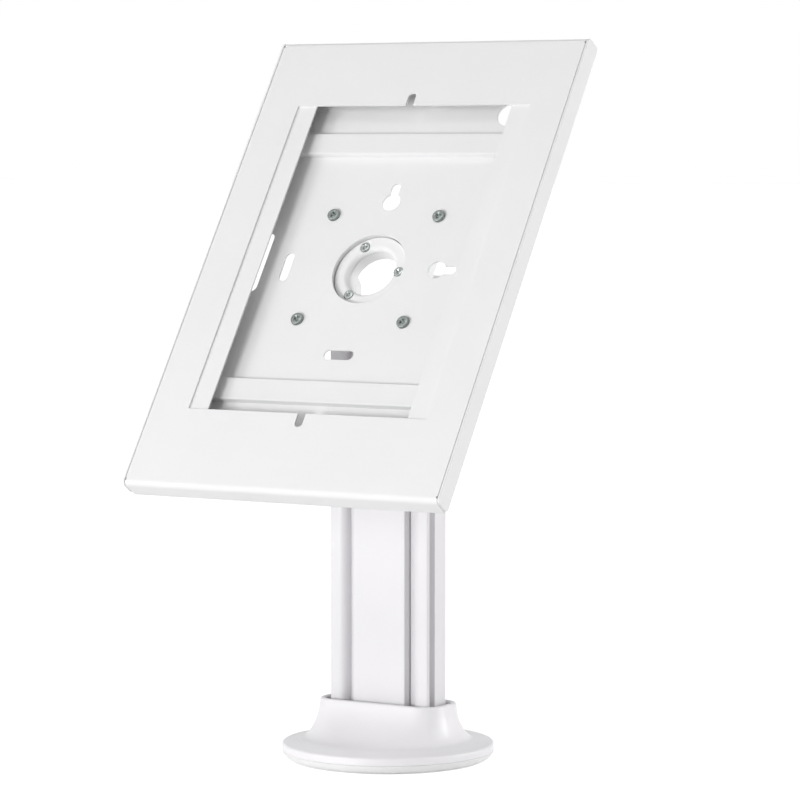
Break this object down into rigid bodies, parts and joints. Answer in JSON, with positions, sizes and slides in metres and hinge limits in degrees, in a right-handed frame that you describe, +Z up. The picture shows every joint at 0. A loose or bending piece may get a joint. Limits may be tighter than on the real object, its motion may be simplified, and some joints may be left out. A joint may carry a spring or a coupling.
{
  "type": "tablet security kiosk stand",
  "caption": "Counter stand with a round base, a channelled column and a lockable sheet-metal tablet enclosure on a tilting, swivelling hub.",
  "frame": {"origin": "centre of the round base's underside", "axes": "+Z up the column, -Y towards the screen side, +X to the viewer's right when facing the screen"},
  "size_m": [0.2208, 0.1893, 0.4407],
  "materials": {
    "white_steel": "satin powder coat",
    "white_aluminium": "satin powder coat",
    "white_casting": "satin powder coat on a casting",
    "white_plastic": "fine matte",
    "white_nylon": "plain",
    "zinc_steel": "dull zinc",
    "bright_steel": "plain steel",
    "chrome_lock": "polished",
    "pad_rubber": "matte"
  },
  "bodies": {
    "stand": {"foot_pad": "pad_rubber", "base_plate": "white_steel", "foot_flange": "white_steel", "foot_screws": "zinc_steel", "column_screws": "zinc_steel", "column_extrusion": "white_aluminium", "cable_cover": "white_aluminium", "yoke": "white_casting", "yoke_screws": "zinc_steel", "pivot_caps": "white_plastic"},
    "base_cover": {"base_cover": "white_plastic"},
    "tilt_hub": {"hub_block": "white_casting", "retaining_ring": "white_steel", "hub_screws": "bright_steel", "swivel_washer_front": "white_nylon", "swivel_washer_rear": "white_nylon", "pivot_bolts": "zinc_steel", "spring_washers": "zinc_steel", "tilt_washers": "white_nylon"},
    "enclosure": {"swivel_plate": "white_casting", "vesa_screws": "zinc_steel", "rear_tray": "white_steel", "support_rail_upper": "white_steel", "support_rail_lower": "white_steel", "lock_housing": "white_casting", "lock_barrel": "chrome_lock", "lock_nut": "bright_steel"},
    "front_cover": {"front_cover": "white_steel", "mask_strip_left": "white_steel", "mask_strip_right": "white_steel", "lock_catch": "white_steel"},
    "lock_cylinder": {"lock_plug": "chrome_lock", "lock_cam": "bright_steel", "cam_screw": "bright_steel"}
  },
  "joints": [
    {"name": "base_cover_lift", "type": "slide", "parent": "stand", "child": "base_cover", "axis": [0, 0, 1], "range_m": [0, 0.05]},
    {"name": "head_tilt", "type": "hinge", "parent": "stand", "child": "tilt_hub", "pos_m": [0, 0, 0.2868], "axis": [-1, 0, 0], "range_deg": [-33.8, 51.2]},
    {"name": "head_swivel", "type": "hinge", "parent": "tilt_hub", "child": "enclosure", "pos_m": [0, -0.01886, 0.29943], "axis": [0, -0.831, 0.5563], "range_deg": [-90, 90]},
    {"name": "front_cover_slide", "type": "slide", "parent": "enclosure", "child": "front_cover", "axis": [0, -0.831, 0.5563], "range_m": [0, 0.06]},
    {"name": "lock_turn", "type": "hinge", "parent": "enclosure", "child": "lock_cylinder", "pos_m": [0, 0.05017, 0.41784], "axis": [0, -0.831, 0.5563], "range_deg": [0, 90]}
  ]
}
